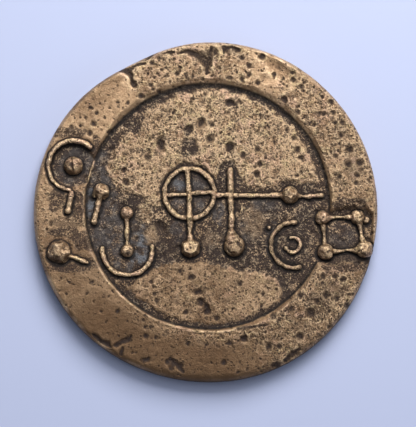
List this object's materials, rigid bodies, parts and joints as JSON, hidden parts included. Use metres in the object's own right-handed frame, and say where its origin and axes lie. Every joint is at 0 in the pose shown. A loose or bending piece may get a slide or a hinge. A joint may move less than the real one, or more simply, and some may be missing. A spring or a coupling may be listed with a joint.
{
  "type": "medallion",
  "caption": "Round cast bronze medallion with a raised rim, an off-centre sunk field and an emblem of raised wires and balls on a pitted face.",
  "frame": {"origin": "centre of the disc's box, in the plane of its flat back", "axes": "+Z out of the carved face, +Y towards the top of the emblem, +X to its right"},
  "size_m": [0.0502, 0.0498, 0.0049],
  "materials": {
    "bronze": "old cast bronze, dark in the hollows and rubbed bright on top"
  },
  "bodies": {
    "root": {"medallion": "bronze"}
  },
  "joints": []
}
